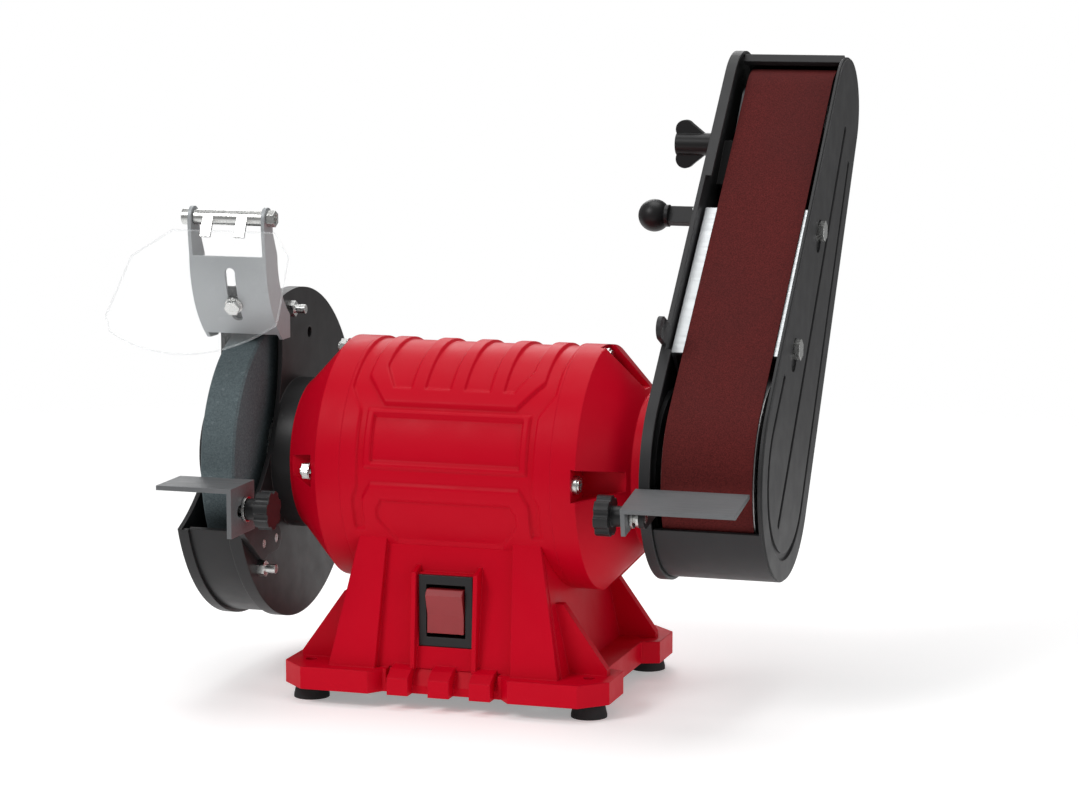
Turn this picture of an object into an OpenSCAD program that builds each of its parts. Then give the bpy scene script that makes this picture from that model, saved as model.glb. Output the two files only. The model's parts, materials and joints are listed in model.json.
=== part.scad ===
// Bench grinder: a grinding wheel on the left of the motor, a tilting belt sander on the right.
// Millimetres. +X along the shaft towards the sander, +Y to the back, +Z up.
// The origin is on the bench, under the middle of the motor.

/* [Motor] */
// Height of the shaft above the bench
shaft_h = 126.5; // [120:0.5:135]
// Outer radius of the motor shell
barrel_r = 67; // [64:0.5:68]
// Half of the shell's length, where the end bells begin
shell_half = 60; // [56:1:62]
// Radius of the circle that the four long bolts stand on
bolt_circle = 61; // [60.5:0.1:61.2]

/* [Base] */
// Half of the base's length along the shaft
base_half_x = 93; // [91:0.5:96]
// Half of the base's depth
base_half_y = 80; // [78:0.5:82]
// Top of the base's rim
base_top = 21; // [20:0.5:23]
// Distance of the feet from the middle, along the shaft
foot_x = 80; // [78:0.5:81]
// Distance of the feet from the middle, front to back
foot_y = 60; // [58:0.5:62]

/* [Grinding wheel] */
// Radius of the grinding wheel
wheel_r = 75; // [70:0.5:76]
// Width of the grinding wheel
wheel_w = 20; // [16:1:21]
// Outer radius of the wheel guard
guard_r = 93.5; // [92:0.5:95]

/* [Belt sander] */
// How far the sander's arm leans back from upright at rest
arm_tilt = 38.3; // [30:0.1:45]
// Distance from the drive pulley to the idler pulley
arm_len = 240; // [236:1:246]
// Width of the sanding belt
belt_w = 50; // [48:1:50]
// Radius of the drive pulley
drive_r = 53.8; // [52:0.1:54]
// Radius of the idler pulley
idler_r = 23; // [20:0.5:24]

/* [Work rests and shield] */
// Height of the left work rest's top face
left_rest_z = 124; // [122:0.5:126]
// Forward lean of the eye shield from hanging straight
shield_lean = 27; // [20:1:35]

/* [Hidden] */
$fn = 96;

black = [0.16, 0.16, 0.16];
steel = [0.68, 0.70, 0.71];
red = [0.76, 0.06, 0.13];

// Motor
shell_wall = 3;
bell_r = barrel_r + 0.8;
bell_edge = 74;
neck_r = 43;
neck_start = 98;
shoulder = 106.8;
spigot_r = 38;
neck_end = 110;
bearing_in = 94;
bearing_out = 105;
bearing_r = 17.5;
seat_r = 7.5;
shaft_r = 8;
end_r = 6.35;
pocket_w = 18;
pocket_floor_r = 45;
right_floor = 71.5;
left_floor = 78.5;
stator_half = 32;
stator_bore = 36;
slots = 24;
// Base
base_bottom = 8.5;
plate_t = 2;
ped_top = 96;
switch_z = 53.5;
rocker_y = -55;
bench_hole_r = 3.25;
// Wheel and guard
wheel_x = -128.7;
guard_in = -112.5;
guard_out = -147;
guard_seam = -141;
window_r = 103;
window_y = -126;
window_z = 64.5;
guard_t = 2.5;
// Sander
rim_x = 107.1;
rim_end = 113;
cover_x = 174;
cover_r1 = 58;
cover_r2 = 32;
rim_r1 = 60;
rim_r2 = 35;
belt_x = 143;
belt_t = 1.1;
belt_gap = 0.3;

// ---------- helpers ----------

// Lays a shape drawn along +Z so that it runs along +X on the shaft's line
module on_shaft(x = 0) {
    translate([x, 0, shaft_h]) rotate([0, 90, 0]) children();
}

// A cylinder along X from x1 to x2 at (y, z)
module rod_x(x1, x2, y, z, r) {
    translate([x1, y, z]) rotate([0, 90, 0]) cylinder(r = r, h = x2 - x1);
}

// A plain ring or disc on the shaft's line
module ring_x(x1, x2, r_out, r_in) {
    difference() {
        on_shaft(x1) cylinder(r = r_out, h = x2 - x1);
        on_shaft(x1 - 1) cylinder(r = r_in, h = x2 - x1 + 2);
    }
}

// A flat outline drawn as (y, z), as thick as x1 to x2
module slab_x(x1, x2) {
    translate([x1, 0, 0]) rotate([90, 0, 90]) linear_extrude(x2 - x1) children();
}

// A box from corner to corner
module box(a, b) {
    translate(a) cube(b - a);
}

// A hexagon nut or head along X, from x1 to x2, across flats af
module hex_x(x1, x2, y, z, af) {
    translate([x1, y, z]) rotate([0, 90, 0]) cylinder(d = af / cos(30), h = x2 - x1, $fn = 6);
}

// How far the straight sides of rounded outlines lie inside their circles, to meet them cleanly
seam = 0.02;

// Round-ended slot outline between two points
module slot_2d(p, q, r) {
    d = q - p;
    len = norm(d);
    translate(p) circle(r);
    translate(q) circle(r);
    translate(p) rotate(atan2(d.y, d.x)) translate([0, seam - r]) square([len, 2 * (r - seam)]);
}

// Outline of two circles joined by their outer tangents, the second one up at distance c
module tangent_2d(r1, r2, c) {
    s = (r1 - r2) / c;
    k = sqrt(1 - s * s);
    a = r1 - seam;
    b = r2 - seam;
    circle(r1);
    translate([0, c]) circle(r2);
    polygon([[-a * k, a * s], [a * k, a * s], [b * k, c + b * s], [-b * k, c + b * s]]);
}

// Puts the arm's own frame in place: its z runs from the drive pulley to the idler
module on_arm() {
    translate([0, 0, shaft_h]) rotate([-arm_tilt, 0, 0]) children();
}

// A star knob on +Z with scalloped edge, drilled for its stud
module star_knob(r, h, stem_r, stem_h, bore_r) {
    difference() {
        union() {
            cylinder(r = r, h = h);
            translate([0, 0, h - 0.01]) cylinder(r = stem_r, h = stem_h + 0.01);
        }
        for (i = [0:6])
            rotate(i * 360 / 7) translate([r + 1.6, 0, -1]) cylinder(r = 3, h = h + 1.5);
        translate([0, 0, 3]) cylinder(r = bore_r, h = h + stem_h);
    }
}

// ---------- motor ----------

module motor_shell() {
    rib_r = barrel_r + 0.9;
    color(red) difference() {
        union() {
            ring_x(-shell_half, shell_half, barrel_r, barrel_r - shell_wall);
            // Raised hoops over the top of the shell
            for (x = [-47, -27.5, -7.5, 12.5, 33])
                intersection() {
                    ring_x(x - 4, x + 4, rib_r, barrel_r - 1);
                    box([x - 5, -52, shaft_h + 30], [x + 5, 60, shaft_h + 70]);
                }
            // Frame of the plain plate on the front
            intersection() {
                ring_x(-47.5, 47.5, rib_r, barrel_r - 1);
                box([-48, -70, shaft_h + 6], [48, -50, shaft_h + 39]);
            }
        }
        // Recess of the plain plate
        intersection() {
            ring_x(-43, 43, barrel_r + 2, barrel_r - 0.8);
            box([-43, -70, shaft_h + 9], [43, -50, shaft_h + 35]);
        }
    }
}

// Outer envelope of an end bell, as a profile of (radius, distance from the middle)
module bell_envelope() {
    rotate_extrude()
        polygon([[0, shell_half], [bell_r, shell_half], [bell_r, bell_edge],
            [neck_r, neck_start], [neck_r, shoulder], [0, shoulder]]);
}

module bell_wall() {
    inner_r = barrel_r - shell_wall;
    rotate_extrude()
        polygon([[9, neck_end], [spigot_r, neck_end], [spigot_r, shoulder], [neck_r, shoulder],
            [neck_r, neck_start], [bell_r, bell_edge], [bell_r, shell_half],
            [inner_r, shell_half], [inner_r, bell_edge - 1], [34, neck_start - 0.5], [34, 103],
            [22, 103], [22, bearing_in - 2], [bearing_r, bearing_in - 2],
            [bearing_r, bearing_out], [9, bearing_out]]);
}

// End bell drawn along +Z, with a pocket for each long bolt
// Wedge-shaped pocket for a bolt's head, narrower towards the neck
module pocket(floor_x, wall, top) {
    w = pocket_w / 2 + wall;
    end_w = 5 + wall;
    translate([pocket_floor_r - wall, 0, 0]) rotate([90, 0, 90]) linear_extrude(40)
        polygon([[-w, floor_x - wall], [w, floor_x - wall], [end_w, neck_start - 1],
            [end_w, top], [-end_w, top], [-end_w, neck_start - 1]]);
}

module end_bell(floor_x) {
    wall = 2.5;
    color(red) difference() {
        union() {
            bell_wall();
            intersection() {
                bell_envelope();
                for (a = [0:90:270])
                    rotate(a) pocket(floor_x, wall, neck_start);
            }
        }
        for (a = [0:90:270])
            rotate(a) {
                pocket(floor_x, 0, 120);
                translate([bolt_circle, 0, 0]) cylinder(r = 2.75, h = 200, $fn = 24);
            }
        // Cooling holes in the end face
        for (a = [0:30:330])
            rotate(a + 15) translate([30.5, 0, 101]) cylinder(r = 2.5, h = 10, $fn = 24);
        // Six tapped holes, three of which are used at either end
        for (a = [0:60:300])
            rotate(a) translate([30.5, 0, 101]) cylinder(r = 2.5, h = 10, $fn = 24);
    }
}

module left_end_bell() {
    color(red) difference() {
        translate([0, 0, shaft_h]) rotate([0, -90, 0]) end_bell(left_floor);
        // Seat of the collar on the wheel guard
        ring_x(-neck_end - 1, -neck_start - 0.4, 60, spigot_r - 0.1);
    }
}

module right_end_bell() {
    on_shaft() end_bell(right_floor);
}

module through_bolts() {
    color(steel) for (a = [0:90:270])
        translate([0, 0, shaft_h]) rotate([a, 0, 0]) difference() {
            union() {
                rod_x(-left_floor - 6, right_floor, 0, bolt_circle, 2.5, $fn = 24);
                rod_x(right_floor, right_floor + 2.6, 0, bolt_circle, 5);
                rod_x(right_floor + 2.6, right_floor + 3.8, 0, bolt_circle, 4);
            }
            box([right_floor + 2, -0.6, bolt_circle - 2.6], [right_floor + 6, 0.6, bolt_circle + 2.6]);
            box([right_floor + 2, -2.6, bolt_circle - 0.6], [right_floor + 6, 2.6, bolt_circle + 0.6]);
        }
}

module through_bolt_nuts() {
    color(steel) for (a = [0:90:270])
        translate([0, 0, shaft_h]) rotate([a, 0, 0]) difference() {
            union() {
                hex_x(-left_floor - 4.7, -left_floor - 0.8, 0, bolt_circle, 8);
                rod_x(-left_floor - 0.8, -left_floor, 0, bolt_circle, 5);
            }
            rod_x(-left_floor - 5, -left_floor + 1, 0, bolt_circle, 2.5, $fn = 24);
        }
}

module stator_core() {
    color([0.45, 0.45, 0.47]) difference() {
        ring_x(-stator_half, stator_half, barrel_r - shell_wall, stator_bore);
        for (i = [0:slots - 1])
            translate([0, 0, shaft_h]) rotate([i * 360 / slots, 0, 0])
                box([-stator_half - 1, -1.8, stator_bore - 1], [stator_half + 1, 1.8, 52]);
        for (a = [0:90:270])
            translate([0, 0, shaft_h]) rotate([a, 0, 0])
                rod_x(-stator_half - 1, stator_half + 1, 0, bolt_circle, 3.2, $fn = 24);
    }
}

module stator_windings() {
    color([0.72, 0.35, 0.16]) {
        for (i = [0:slots - 1])
            translate([0, 0, shaft_h]) rotate([i * 360 / slots, 0, 0])
                box([-stator_half - 3, -1.5, 41], [stator_half + 3, 1.5, 51]);
        for (x = [-stator_half - 16, stator_half + 1])
            on_shaft(x) rotate_extrude()
                polygon([[40, 0], [52, 0], [54, 3], [54, 11], [51, 15], [42, 15], [38, 11], [38, 3]]);
    }
}

module motor_shaft() {
    wheel_end = -153;
    sander_end = 167;
    color(steel) {
        rod_x(-bearing_in, bearing_in, 0, shaft_h, shaft_r);
        rod_x(bearing_in, bearing_out, 0, shaft_h, seat_r);
        rod_x(-bearing_out, -bearing_in, 0, shaft_h, seat_r);
        rod_x(wheel_end, -bearing_out, 0, shaft_h, end_r);
        rod_x(bearing_out, sander_end, 0, shaft_h, end_r);
    }
}

module rotor_core() {
    color([0.5, 0.5, 0.52]) ring_x(-stator_half, stator_half, stator_bore - 0.4, shaft_r);
}

module rotor_end_rings() {
    color([0.78, 0.78, 0.8]) for (s = [-1, 1])
        translate([0, 0, shaft_h]) rotate([0, 90 * s, 0]) {
            difference() {
                translate([0, 0, stator_half]) cylinder(r = 35, h = 7);
                translate([0, 0, stator_half - 1]) cylinder(r = 22, h = 9);
            }
            for (a = [0:40:320])
                rotate(a) box([24, -1, stator_half + 7], [33, 1, stator_half + 15]);
        }
}

module bearing_rings(r_out, r_in) {
    for (x = [-bearing_out, bearing_in])
        ring_x(x, x + bearing_out - bearing_in, r_out, r_in);
}

module bearing_outer_rings() {
    color(steel) difference() {
        bearing_rings(bearing_r, 14);
        bearing_races();
    }
}

module bearing_inner_rings() {
    color(steel) difference() {
        bearing_rings(10.6, seat_r);
        bearing_races();
    }
}

// The groove that the balls run in
module bearing_races() {
    for (x = [-(bearing_in + bearing_out) / 2, (bearing_in + bearing_out) / 2])
        on_shaft(x) rotate_extrude() translate([12.3, 0]) circle(r = 3, $fn = 32);
}

module bearing_balls() {
    color(steel) for (x = [-(bearing_in + bearing_out) / 2, (bearing_in + bearing_out) / 2])
        for (a = [0:45:315])
            translate([x, 12.3 * cos(a), shaft_h + 12.3 * sin(a)]) sphere(r = 2.93, $fn = 32);
}

// ---------- base ----------

// Outline of the base's rim: four corner pads with the sides set back between them
module rim_2d(inset = 0) {
    x = base_half_x - inset;
    y = base_half_y - inset;
    c = 14;
    side = 83 - inset;
    front = 72 - inset;
    polygon([[-x, -y + c], [-x + c, -y], [-40, -y], [-34, -front], [34, -front], [40, -y],
        [x - c, -y], [x, -y + c], [x, -38], [side, -34], [side, 34], [x, 38],
        [x, y - c], [x - c, y], [-x + c, y], [-x, y - c], [-x, 38], [-side, 34], [-side, -34],
        [-x, -38]]);
}

// Pedestal envelope, tapered in both views; grow makes the walls
module pedestal(inset = 0) {
    intersection() {
        translate([0, 100, 0]) rotate([90, 0, 0]) linear_extrude(200)
            polygon([[-68 + inset, base_top - 6], [68 - inset, base_top - 6],
                [51 - inset, ped_top], [-51 + inset, ped_top]]);
        slab_x(-100, 100)
            polygon([[-68 + inset, base_top - 6], [68 - inset, base_top - 6],
                [54 - inset, ped_top], [-54 + inset, ped_top]]);
    }
}

// Upright web between the pedestal and the base's rim, drawn in the X-Z plane
module side_web(y) {
    web = 6;
    for (s = [0, 1])
        mirror([s, 0, 0]) translate([0, y + web / 2, 0]) rotate([90, 0, 0]) linear_extrude(web)
            polygon([[50, base_top - 1], [88, base_top - 1], [88, base_top + 3], [63, 59],
                [52, 59]]);
}

module base_housing() {
    wall = 3;
    color(red) difference() {
        union() {
            difference() {
                union() {
                    translate([0, 0, base_bottom])
                        linear_extrude(base_top - base_bottom) rim_2d();
                    pedestal();
                }
                // Sloping recess behind the lugs
                slab_x(-32, 32)
                    polygon([[-74, base_top - 8], [-72, base_top - 8], [-66, base_top + 0.5],
                        [-74, base_top + 0.5]]);
                translate([0, 0, base_bottom - 1])
                    linear_extrude(base_top - wall - base_bottom + 1) rim_2d(wall);
                pedestal(wall);
                box([-60, -58, base_bottom], [60, 58, base_top + 2]);
            }
            for (y = [-50, 50])
                side_web(y);
            // Buttresses up the pedestal's front and back corners
            for (s = [0, 1])
                for (t = [0, 1])
                    mirror([s, 0, 0]) mirror([0, t, 0])
                        intersection() {
                            slab_x(30, 80)
                                polygon([[-72, base_top - 2], [-62, base_top - 2], [-46, ped_top],
                                    [-57, ped_top]]);
                            translate([0, 100, 0]) rotate([90, 0, 0]) linear_extrude(200)
                                polygon([[39, base_top - 2], [66, base_top - 2], [51, ped_top],
                                    [36, ped_top]]);
                        }
            // Sloping wall behind the lugs
            slab_x(-34, 34)
                polygon([[-72, base_top - 8], [-66.4, base_top - 0.1], [-60, base_top - 0.1],
                    [-60, base_top - 3.5], [-68, base_bottom + 2.5], [-71.5, base_bottom + 2.5]]);
            // Lugs along the front edge
            for (x = [-23, 0.5, 24])
                slab_x(x - 6, x + 6)
                    polygon([[-79.5, base_bottom], [-70, base_bottom], [-64, base_top + 3],
                        [-73, base_top + 1], [-79.5, base_top - 3]]);
            // Posts for the bench bolts and for the plate's screws
            for (x = [-foot_x, foot_x])
                for (y = [-foot_y, foot_y])
                    translate([x, y, base_bottom + plate_t])
                        cylinder(r = 8, h = base_top - base_bottom - plate_t);
            for (x = [-50, 50])
                for (y = [-52, 52])
                    translate([x, y, base_bottom + plate_t]) cylinder(r = 4.5, h = 26);
            // Panel of the switch, between two upright ribs
            box([-17, -62.5, 28], [17, -55, 73.8]);
            for (s = [-1, 1])
                slab_x(s * 17.6 - 1.2, s * 17.6 + 1.2)
                    polygon([[-70.5, base_top], [-55, base_top], [-55, 78], [-66.5, 74.5]]);
            // Boss of the cable gland
            translate([30, 66, 42]) rotate([90, 0, 0]) cylinder(r = 13, h = 12);
        }
        // Saddle for the shell and the end bells
        rod_x(-shell_half - 0.1, shell_half + 0.1, 0, shaft_h, barrel_r + 0.05);
        rod_x(-100, -shell_half, 0, shaft_h, bell_r + 0.05);
        rod_x(shell_half, 100, 0, shaft_h, bell_r + 0.05);
        // Window of the switch
        box([-14.6, -75, 34.7], [14.6, -40, 72.3]);
        box([-15.6, -75, 33.5], [15.6, -62.5, 73.5]);
        // Everything inside the pedestal behind the switch
        box([-30, -56, 24], [30, 40, 60]);
        for (x = [-foot_x, foot_x])
            for (y = [-foot_y, foot_y])
                translate([x, y, 0]) cylinder(r = bench_hole_r, h = 40);
        for (x = [-50, 50])
            for (y = [-52, 52])
                translate([x, y, 0]) cylinder(r = 1.7, h = base_bottom + 22, $fn = 24);
        // Bore and spot face of the cable gland
        translate([30, 80, 42]) rotate([90, 0, 0]) cylinder(r = 8, h = 40);
        translate([30, 90, 42]) rotate([90, 0, 0]) cylinder(r = 13, h = 24);
    }
}

module base_plate() {
    color([0.3, 0.3, 0.31]) difference() {
        translate([0, 0, base_bottom]) linear_extrude(plate_t) rim_2d(3.4);
        for (x = [-foot_x, foot_x])
            for (y = [-foot_y, foot_y])
                translate([x, y, 0]) cylinder(r = 5.5, h = 20);
        for (x = [-50, 50])
            for (y = [-52, 52])
                translate([x, y, 0]) cylinder(r = 2.2, h = 20, $fn = 24);
    }
}

module rubber_feet() {
    color([0.1, 0.1, 0.1])
        for (x = [-foot_x, foot_x])
            for (y = [-foot_y, foot_y])
                translate([x, y, 0]) rotate_extrude()
                    polygon([[bench_hole_r, 0], [9.9, 0], [9.9, 1.5], [8.2, base_bottom],
                        [5.5, base_bottom], [5.5, base_bottom + plate_t], [bench_hole_r, base_bottom + plate_t]]);
}

module base_plate_screws() {
    color(steel)
        for (x = [-50, 50])
            for (y = [-52, 52])
                translate([x, y, base_bottom - 2]) {
                    cylinder(r = 3.6, h = 2);
                    cylinder(r = 1.7, h = 18, $fn = 24);
                }
}

module run_capacitor() {
    color([0.75, 0.75, 0.72]) {
        rod_x(-34, 22, 18, 34, 14);
        rod_x(22, 27, 14, 34, 2, $fn = 24);
        rod_x(22, 27, 23, 34, 2, $fn = 24);
    }
}

module switch_bezel() {
    color(black) difference() {
        union() {
            box([-15.3, -64.5, 33.9], [15.3, -62.5, 73.1]);
            box([-14.5, -62.5, 34.9], [14.5, -46, 72.1]);
        }
        box([-11.2, -75, switch_z - 14.6], [11.2, -49, switch_z + 14.6]);
        rod_x(-13.1, 13.1, rocker_y, switch_z, 1.66, $fn = 24);
    }
}

// The rocker turns on two pins behind its own middle
module switch_rocker() {
    half = 12.2;
    color([0.62, 0.12, 0.15]) {
        slab_x(-10.4, 10.4)
            polygon([[-53, switch_z - half + 2], [-60, switch_z - half], [-65.2, switch_z - half],
                [-65, switch_z - 2], [-68.4, switch_z + half - 3], [-66, switch_z + half],
                [-60, switch_z + half], [-53, switch_z + half - 2]]);
        rod_x(-13, 13, rocker_y, switch_z, 1.6, $fn = 24);
    }
}

module cable_gland() {
    color(black) translate([30, 78, 42]) rotate([90, 0, 0]) difference() {
        union() {
            translate([0, 0, 8]) cylinder(r = 7.9, h = 20);
            translate([0, 0, 4]) cylinder(r = 11, h = 8);
            cylinder(r = 8.5, h = 4.1);
        }
        translate([0, 0, -1]) cylinder(r = 3.6, h = 40);
    }
}

// ---------- wheel, guard and their fasteners ----------

// The opening at the guard's front, taken out of both discs
module guard_window(x1, x2) {
    rod_x(x1, x2, window_y, shaft_h + window_z, window_r, $fn = 160);
}

// A band of the guard's rim, open at the front
module guard_rim(x1, x2, r_out) {
    upper_end = 118.5;
    lower_end = 200;
    difference() {
        ring_x(x1, x2, r_out, r_out - guard_t);
        slab_x(x1 - 1, x2 + 1)
            translate([0, shaft_h])
                polygon([[0, 0], 140 * [cos(upper_end), sin(upper_end)], [-140, 80], [-150, 0],
                    140 * [cos(lower_end), sin(lower_end)]]);
    }
}

// Where the guard's two long screws pass, as (y, z) from the shaft
guard_screw_at = [[-12, 83], [-61, -56]];

module inner_wheel_guard() {
    color(black) difference() {
        union() {
            difference() {
                union() {
                    ring_x(guard_in, guard_in + guard_t, guard_r, 16);
                    // Collar round the end bell's neck
                    ring_x(guard_in + 1, -neck_start - 0.5, neck_r - 0.6, spigot_r);
                }
                guard_window(guard_in - 1, guard_in + 4);
            }
            guard_rim(guard_in - 5, guard_in + guard_t, guard_r);
            guard_rim(guard_seam, guard_in + guard_t, guard_r - 2);
            // Lip behind the deflector, which its screw goes through
            intersection() {
                slab_x(-136, -116) translate([0, 243]) difference() {
                    circle(57.9);
                    circle(55.4);
                }
                box([-140, -58, 203], [-110, -40, 226]);
            }
            // Ears for the long screws
            for (p = guard_screw_at)
                rod_x(guard_seam + 0.5, guard_in + guard_t, p.x, shaft_h + p.y, 5);
        }
        for (p = guard_screw_at)
            rod_x(-160, -100, p.x, shaft_h + p.y, 2.6, $fn = 24);
        for (a = [60:120:300])
            on_shaft() rotate(a) translate([30.5, 0, -120]) cylinder(r = 2.6, h = 20, $fn = 24);
        rod_x(-120, -100, 19, shaft_h + 66, 3.2);
        translate([-126, 0, 243]) rotate([27, 0, 0]) translate([0, -50, 0]) rotate([90, 0, 0])
            cylinder(r = 2.6, h = 20, $fn = 24);
        rod_x(-120, -100, -62, shaft_h - 42, 2.6, $fn = 24);
        rod_x(-120, -100, -44, shaft_h - 42, 2.6, $fn = 24);
    }
}

module outer_wheel_guard() {
    boss_r = 33;
    boss_h = 10;
    color(black) difference() {
        union() {
            difference() {
                on_shaft(guard_out) cylinder(r = guard_r, h = guard_t);
                guard_window(guard_out - 1, guard_out + 4);
            }
            guard_rim(guard_out, guard_seam, guard_r);
            // Raised middle that covers the wheel's nut
            on_shaft(guard_out - boss_h) cylinder(r = boss_r, h = boss_h + guard_t);
        }
        on_shaft(guard_out - boss_h + guard_t) cylinder(r = boss_r - guard_t, h = boss_h + 1);
        for (p = guard_screw_at)
            rod_x(-160, -100, p.x, shaft_h + p.y, 2.6, $fn = 24);
    }
}

module guard_screws() {
    color(steel) for (p = guard_screw_at) {
        rod_x(guard_out, -100, p.x, shaft_h + p.y, 2.5, $fn = 24);
        rod_x(guard_out - 3, guard_out, p.x, shaft_h + p.y, 4.6);
        hex_x(guard_in + guard_t, guard_in + guard_t + 4, p.x, shaft_h + p.y, 8);
    }
}

module guard_mount_screws() {
    color(steel) for (a = [60:120:300])
        on_shaft() rotate(a) translate([30.5, 0, guard_in - 2.5]) {
            cylinder(r = 2.5, h = 10, $fn = 24);
            cylinder(r = 4.5, h = 2.5);
        }
}

module inner_wheel_flange() {
    inside = wheel_x + wheel_w / 2;
    color(steel) {
        ring_x(inside, inside + 3, 27, end_r);
        ring_x(inside + 3, -bearing_out - 0.3, 8.7, end_r);
    }
}

module outer_wheel_flange() {
    color(steel) ring_x(wheel_x - wheel_w / 2 - 3, wheel_x - wheel_w / 2, 27, end_r);
}

module grinding_wheel() {
    c = 1.2;
    color([0.35, 0.41, 0.42]) on_shaft(wheel_x) rotate_extrude($fn = 160)
        polygon([[end_r, -wheel_w / 2], [wheel_r - c, -wheel_w / 2], [wheel_r, -wheel_w / 2 + c],
            [wheel_r, wheel_w / 2 - c], [wheel_r - c, wheel_w / 2], [end_r, wheel_w / 2]]);
}

module wheel_nut() {
    x = wheel_x - wheel_w / 2 - 3;
    color(steel) difference() {
        hex_x(x - 8, x, 0, shaft_h, 19);
        rod_x(x - 10, x + 1, 0, shaft_h, end_r);
    }
}

// ---------- spark deflector and eye shield ----------

bend_y = 0;
bend_z = 243;
bend_r = 60;
pivot_y = -56;
pivot_z = 264;

// One side cheek of the deflector: from the plate up to the pivot's eye
module cheek_2d() {
    eye_r = 6;
    difference() {
        union() {
            intersection() {
                difference() {
                    translate([bend_y, bend_z]) circle(bend_r);
                    translate([bend_y, bend_z]) circle(bend_r - 17);
                }
                translate([-70, 195]) square([45, 48]);
            }
            polygon([[-60, 242.9], [-43, 242.9], [-49, 255], [pivot_y + eye_r, pivot_z],
                [pivot_y - eye_r, pivot_z], [-61.5, 254]]);
            translate([pivot_y, pivot_z]) circle(eye_r);
        }
        translate([pivot_y, pivot_z]) circle(2.6);
    }
}

module spark_deflector() {
    t = 2;
    color(steel) difference() {
        union() {
            intersection() {
                slab_x(-149, -105) translate([bend_y, bend_z]) difference() {
                    circle(bend_r);
                    circle(bend_r - t);
                }
                box([-160, -62, 198], [-100, -30, bend_z]);
            }
            slab_x(-106.4, -104.4) cheek_2d();
            slab_x(-149.6, -147.6) cheek_2d();
        }
        // Slot along the curve for the screw, which is its straight way in
        for (a = [9:2:35])
            translate([-126, bend_y, bend_z]) rotate([a, 0, 0]) translate([0, -40, 0])
                rotate([90, 0, 0]) cylinder(r = 3, h = 30);
    }
}

module deflector_screw() {
    color(steel) translate([-126, bend_y, bend_z]) rotate([27, 0, 0]) rotate([90, 0, 0]) {
        translate([0, 0, 52]) cylinder(r = 2.5, h = 11, $fn = 24);
        translate([0, 0, bend_r + 0.3]) cylinder(r = 5, h = 1);
        translate([0, 0, bend_r + 1.3]) cylinder(d = 8 / cos(30), h = 3.2, $fn = 6);
        translate([0, 0, 51]) cylinder(d = 8 / cos(30), h = 4.2, $fn = 6);
    }
}

module shield_pivot_bolt() {
    color(steel) {
        rod_x(-154, -101.5, pivot_y, pivot_z, 2.5, $fn = 24);
        rod_x(-154, -149.7, pivot_y, pivot_z, 4.5);
    }
}

module shield_pivot_nut() {
    color(steel) difference() {
        hex_x(-104.3, -100, pivot_y, pivot_z, 8);
        rod_x(-106, -98, pivot_y, pivot_z, 2.5, $fn = 24);
    }
}

module shield_hinge_sleeve() {
    color(steel) difference() {
        union() {
            rod_x(-147.3, -106.7, pivot_y, pivot_z, 4.2);
            // Two tabs that the clear sheet is riveted to
            for (x = [-138, -118])
                translate([0, pivot_y, pivot_z]) rotate([-shield_lean, 0, 0])
                    box([x - 3, -4.2, -13], [x + 3, -2.8, 0]);
        }
        rod_x(-150, -100, pivot_y, pivot_z, 2.55, $fn = 24);
    }
}

module eye_shield() {
    bow_r = 85.2;
    color([0.8, 0.85, 0.88, 0.35]) translate([0, pivot_y, pivot_z]) rotate([-shield_lean, 0, 0])
        translate([0, -4.3, 0]) rotate([90, 0, 0]) linear_extrude(1.6) intersection() {
            polygon([[-157, -10], [-178.5, -26], [-187.5, -62], [-184, -68], [-178, -90], [-90, -90],
                [-86.5, -60], [-86.5, -24], [-97, -10]]);
            translate([-140.6, 3.1]) circle(bow_r);
        }
}

// ---------- left work rest ----------

knob_z = 110;
left_bolt_y = -96;

module left_rest_bracket() {
    color(black) difference() {
        slab_x(-109.9, -106.4) union() {
            slot_2d([-62, shaft_h - 42], [-44, shaft_h - 42], 7);
            slot_2d([-62, shaft_h - 42], [left_bolt_y, knob_z], 9);
        }
        rod_x(-112, -104, left_bolt_y, knob_z, 3.1);
        rod_x(-120, -100, -62, shaft_h - 42, 2.6, $fn = 24);
        rod_x(-120, -100, -44, shaft_h - 42, 2.6, $fn = 24);
    }
}

module left_rest_bolt() {
    color(steel) {
        rod_x(-109.8, -90.5, left_bolt_y, knob_z, 3);
        for (y = [-62, -44]) {
            rod_x(guard_in - 2, -106.5, y, shaft_h - 42, 2.5, $fn = 24);
            rod_x(guard_in - 2.2, guard_in, y, shaft_h - 42, 4.5);
        }
        // Washers between the rest and the knob
        rod_x(-103.2, -101.8, left_bolt_y, knob_z, 7);
    }
}

module left_tool_rest() {
    t = 2.5;
    color(steel) difference() {
        union() {
            box([-147, -116, left_rest_z - t], [-103.5, -83, left_rest_z]);
            box([-106.1, -116, left_rest_z - 27], [-103.5, -83, left_rest_z]);
        }
        slab_x(-110, -100) slot_2d([left_bolt_y - 8, knob_z], [left_bolt_y + 4, knob_z], 3.3);
    }
}

module left_rest_knob() {
    color(black) translate([-87, left_bolt_y, knob_z]) rotate([0, -90, 0])
        star_knob(10.6, 8, 6, 6.5, 3.05);
}

// ---------- belt sander ----------

// Where the cover's long screws stand on the arm, as [across, along]
cover_boss = [[-18, 147], [-27, 64]];
run_lean = asin((drive_r - idler_r) / arm_len);
carriage_x1 = rim_end + 0.4;
carriage_x2 = carriage_x1 + 3.4;
lever_at = 166;
lever_pivot_x = 99;
tip_x = (carriage_x1 + carriage_x2) / 2;
tracking_at = [-6, 212];

// Puts the straight run's frame in place: its z runs along the belt's front run
module on_run() {
    on_arm() rotate([-run_lean, 0, 0]) children();
}

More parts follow.
